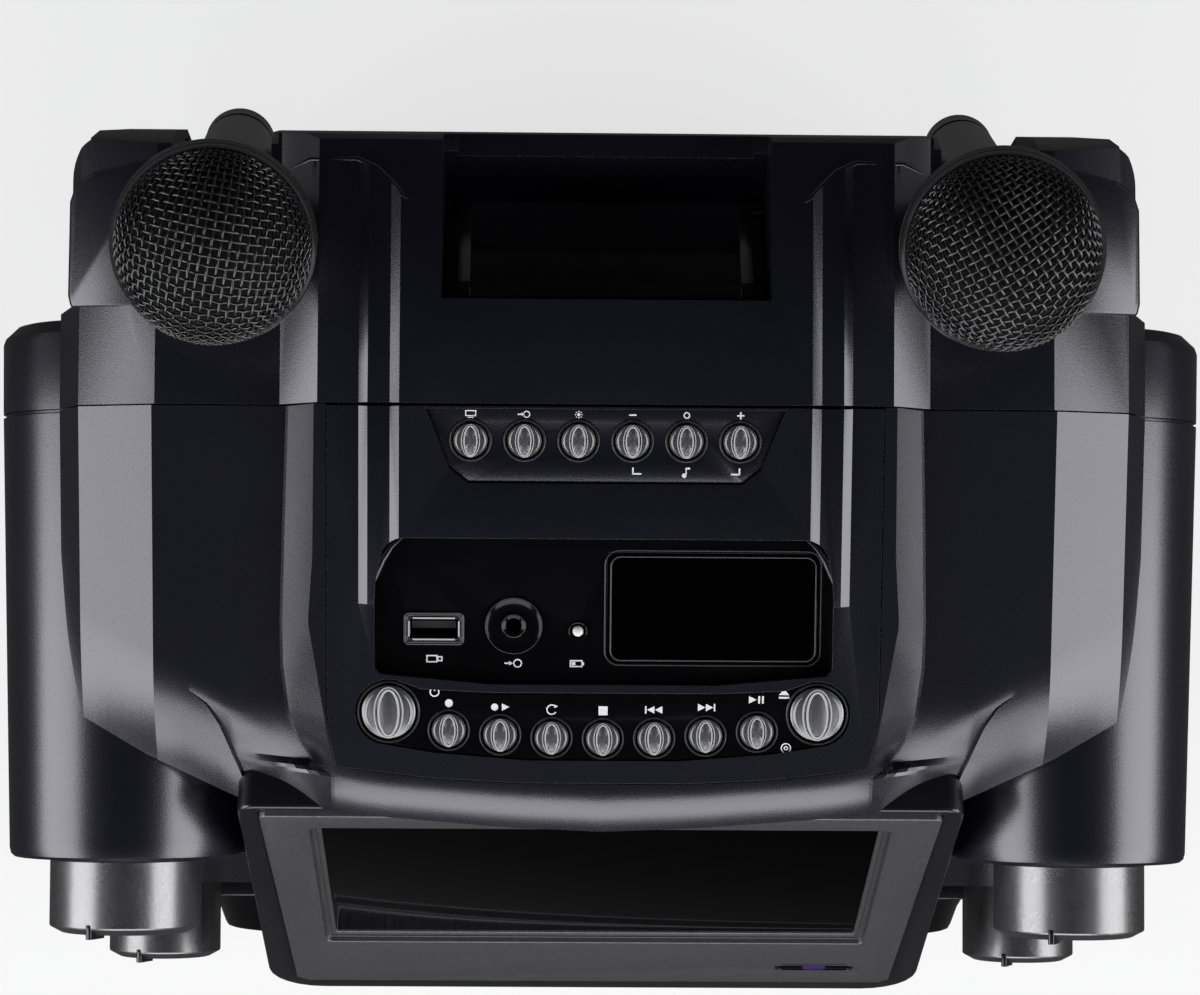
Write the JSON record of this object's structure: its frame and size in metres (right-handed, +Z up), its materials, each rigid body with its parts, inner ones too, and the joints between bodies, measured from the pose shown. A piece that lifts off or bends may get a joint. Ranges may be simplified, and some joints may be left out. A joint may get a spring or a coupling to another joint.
{
  "type": "karaoke machine with disc tray",
  "caption": "Table-top karaoke machine: sloping key deck, leaning screen, disc tray, two speakers, four knobs, device cradle and two lift-out microphones.",
  "frame": {"origin": "centre of the footprint on the table", "axes": "+Z up, front with the screen towards -Y, +X to the right seen from the front"},
  "size_m": [0.3356, 0.2633, 0.3951],
  "materials": {
    "body_plastic": "fine satin texture",
    "gloss_plastic": "polished",
    "bezel_paint": "satin metallic paint",
    "screen_glass": "polished",
    "ir_plastic": "polished dark tint",
    "speaker_cone": "pressed paper, matt",
    "grille_steel": "satin black paint",
    "tray_plastic": "fine matt",
    "gear_plastic": "self-coloured",
    "bright_steel": "plated",
    "button_plastic": "satin metallic",
    "knob_metal": "satin metallic paint",
    "circuit_board": "varnished board",
    "mic_mesh": "black wire mesh",
    "mic_body": "satin",
    "foot_rubber": "matt"
  },
  "bodies": {
    "machine": {"rear_top_cover": "body_plastic", "front_top_cover": "body_plastic", "center_panel": "body_plastic", "cabinet": "body_plastic", "base_plate": "body_plastic", "left_pod": "body_plastic", "right_pod": "body_plastic", "front_baffle": "body_plastic", "screen_housing": "gloss_plastic", "key_panel": "gloss_plastic", "control_panel": "gloss_plastic", "transport_panel": "gloss_plastic", "speaker_rings": "gloss_plastic", "aux_jack": "gloss_plastic", "rear_panel": "gloss_plastic", "screen_bezel": "bezel_paint", "lcd_panel": "screen_glass", "display_window": "screen_glass", "ir_window": "ir_plastic", "left_speaker": "speaker_cone", "right_speaker": "speaker_cone", "speaker_grilles": "grille_steel", "drive_chassis": "bright_steel", "usb_port": "bright_steel", "knob_shafts": "bright_steel", "screws": "bright_steel", "button_board": "circuit_board", "main_board": "circuit_board", "feet": "foot_rubber"},
    "key_button_1": {"key_button_1": "button_plastic"},
    "key_button_2": {"key_button_2": "button_plastic"},
    "key_button_3": {"key_button_3": "button_plastic"},
    "key_button_4": {"key_button_4": "button_plastic"},
    "key_button_5": {"key_button_5": "button_plastic"},
    "key_button_6": {"key_button_6": "button_plastic"},
    "transport_button_1": {"transport_button_1": "button_plastic"},
    "transport_button_2": {"transport_button_2": "button_plastic"},
    "transport_button_3": {"transport_button_3": "button_plastic"},
    "transport_button_4": {"transport_button_4": "button_plastic"},
    "transport_button_5": {"transport_button_5": "button_plastic"},
    "transport_button_6": {"transport_button_6": "button_plastic"},
    "transport_button_7": {"transport_button_7": "button_plastic"},
    "standby_button": {"standby_button": "button_plastic"},
    "eject_button": {"eject_button": "button_plastic"},
    "left_upper_knob": {"left_upper_knob": "knob_metal"},
    "left_lower_knob": {"left_lower_knob": "knob_metal"},
    "right_upper_knob": {"right_upper_knob": "knob_metal"},
    "right_lower_knob": {"right_lower_knob": "knob_metal"},
    "tray": {"disc_tray": "tray_plastic", "tray_front": "body_plastic"},
    "pinion": {"tray_pinion": "gear_plastic"},
    "turntable": {"spindle_turntable": "tray_plastic"},
    "sled": {"laser_sled": "tray_plastic"},
    "cradle": {"phone_cradle": "gloss_plastic"},
    "left_mic": {"left_mic_head": "mic_mesh", "left_mic_handle": "mic_body"},
    "left_switch": {"left_mic_switch": "mic_body"},
    "right_mic": {"right_mic_head": "mic_mesh", "right_mic_handle": "mic_body"},
    "right_switch": {"right_mic_switch": "mic_body"}
  },
  "joints": [
    {"name": "key_button_1_press", "type": "slide", "parent": "machine", "child": "key_button_1", "axis": [0, 0.1736, -0.9848], "range_m": [0, 0.0008], "stiffness_N_per_m": 300, "springref_m": -0.0006},
    {"name": "key_button_2_press", "type": "slide", "parent": "machine", "child": "key_button_2", "axis": [0, 0.1736, -0.9848], "range_m": [0, 0.0008], "stiffness_N_per_m": 300, "springref_m": -0.0006},
    {"name": "key_button_3_press", "type": "slide", "parent": "machine", "child": "key_button_3", "axis": [0, 0.1736, -0.9848], "range_m": [0, 0.0008], "stiffness_N_per_m": 300, "springref_m": -0.0006},
    {"name": "key_button_4_press", "type": "slide", "parent": "machine", "child": "key_button_4", "axis": [0, 0.1736, -0.9848], "range_m": [0, 0.0008], "stiffness_N_per_m": 300, "springref_m": -0.0006},
    {"name": "key_button_5_press", "type": "slide", "parent": "machine", "child": "key_button_5", "axis": [0, 0.1736, -0.9848], "range_m": [0, 0.0008], "stiffness_N_per_m": 300, "springref_m": -0.0006},
    {"name": "key_button_6_press", "type": "slide", "parent": "machine", "child": "key_button_6", "axis": [0, 0.1736, -0.9848], "range_m": [0, 0.0008], "stiffness_N_per_m": 300, "springref_m": -0.0006},
    {"name": "transport_button_1_press", "type": "slide", "parent": "machine", "child": "transport_button_1", "axis": [0, 0.1736, -0.9848], "range_m": [0, 0.0008], "stiffness_N_per_m": 300, "springref_m": -0.0006},
    {"name": "transport_button_2_press", "type": "slide", "parent": "machine", "child": "transport_button_2", "axis": [0, 0.1736, -0.9848], "range_m": [0, 0.0008], "stiffness_N_per_m": 300, "springref_m": -0.0006},
    {"name": "transport_button_3_press", "type": "slide", "parent": "machine", "child": "transport_button_3", "axis": [0, 0.1736, -0.9848], "range_m": [0, 0.0008], "stiffness_N_per_m": 300, "springref_m": -0.0006},
    {"name": "transport_button_4_press", "type": "slide", "parent": "machine", "child": "transport_button_4", "axis": [0, 0.1736, -0.9848], "range_m": [0, 0.0008], "stiffness_N_per_m": 300, "springref_m": -0.0006},
    {"name": "transport_button_5_press", "type": "slide", "parent": "machine", "child": "transport_button_5", "axis": [0, 0.1736, -0.9848], "range_m": [0, 0.0008], "stiffness_N_per_m": 300, "springref_m": -0.0006},
    {"name": "transport_button_6_press", "type": "slide", "parent": "machine", "child": "transport_button_6", "axis": [0, 0.1736, -0.9848], "range_m": [0, 0.0008], "stiffness_N_per_m": 300, "springref_m": -0.0006},
    {"name": "transport_button_7_press", "type": "slide", "parent": "machine", "child": "transport_button_7", "axis": [0, 0.1736, -0.9848], "range_m": [0, 0.0008], "stiffness_N_per_m": 300, "springref_m": -0.0006},
    {"name": "standby_button_press", "type": "slide", "parent": "machine", "child": "standby_button", "axis": [0, 0.1736, -0.9848], "range_m": [0, 0.0008], "stiffness_N_per_m": 300, "springref_m": -0.0006},
    {"name": "eject_button_press", "type": "slide", "parent": "machine", "child": "eject_button", "axis": [0, 0.1736, -0.9848], "range_m": [0, 0.0008], "stiffness_N_per_m": 300, "springref_m": -0.0006},
    {"name": "left_upper_knob_turn", "type": "hinge", "parent": "machine", "child": "left_upper_knob", "pos_m": [-0.132, -0.095, 0.27], "axis": [0, -1, 0], "range_deg": [-140, 140]},
    {"name": "left_lower_knob_turn", "type": "hinge", "parent": "machine", "child": "left_lower_knob", "pos_m": [-0.132, -0.105, 0.166], "axis": [0, -1, 0], "range_deg": [-140, 140]},
    {"name": "right_upper_knob_turn", "type": "hinge", "parent": "machine", "child": "right_upper_knob", "pos_m": [0.132, -0.095, 0.27], "axis": [0, -1, 0], "range_deg": [-140, 140]},
    {"name": "right_lower_knob_turn", "type": "hinge", "parent": "machine", "child": "right_lower_knob", "pos_m": [0.132, -0.105, 0.166], "axis": [0, -1, 0], "range_deg": [-140, 140]},
    {"name": "tray_slide", "type": "slide", "parent": "machine", "child": "tray", "axis": [0, -1, 0], "range_m": [0, 0.137]},
    {"name": "pinion_turn", "type": "hinge", "parent": "machine", "child": "pinion", "pos_m": [0.046, -0.084, 0.147], "axis": [0, 0, 1], "range_deg": [-936, 6]},
    {"name": "turntable_spin", "type": "hinge", "parent": "machine", "child": "turntable", "pos_m": [0, -0.03, 0.147], "axis": [0, 0, 1], "continuous": true},
    {"name": "sled_slide", "type": "slide", "parent": "machine", "child": "sled", "axis": [0, 1, 0], "range_m": [0, 0.034]},
    {"name": "cradle_fold", "type": "hinge", "parent": "machine", "child": "cradle", "pos_m": [0, 0.091, 0.306], "axis": [-1, 0, 0], "range_deg": [0, 60]},
    {"name": "left_mic_lift", "type": "slide", "parent": "machine", "child": "left_mic", "axis": [0.0415, -0.309, 0.9502], "range_m": [0, 0.12]},
    {"name": "left_switch_slide", "type": "slide", "parent": "left_mic", "child": "left_switch", "axis": [-0.0415, 0.309, -0.9502], "range_m": [0, 0.005]},
    {"name": "right_mic_lift", "type": "slide", "parent": "machine", "child": "right_mic", "axis": [-0.0415, -0.309, 0.9502], "range_m": [0, 0.12]},
    {"name": "right_switch_slide", "type": "slide", "parent": "right_mic", "child": "right_switch", "axis": [0.0415, 0.309, -0.9502], "range_m": [0, 0.005]}
  ],
  "couplings": [
    {"joint": "pinion_turn", "follows": "tray_slide", "rad_per_m": -119.05}
  ]
}
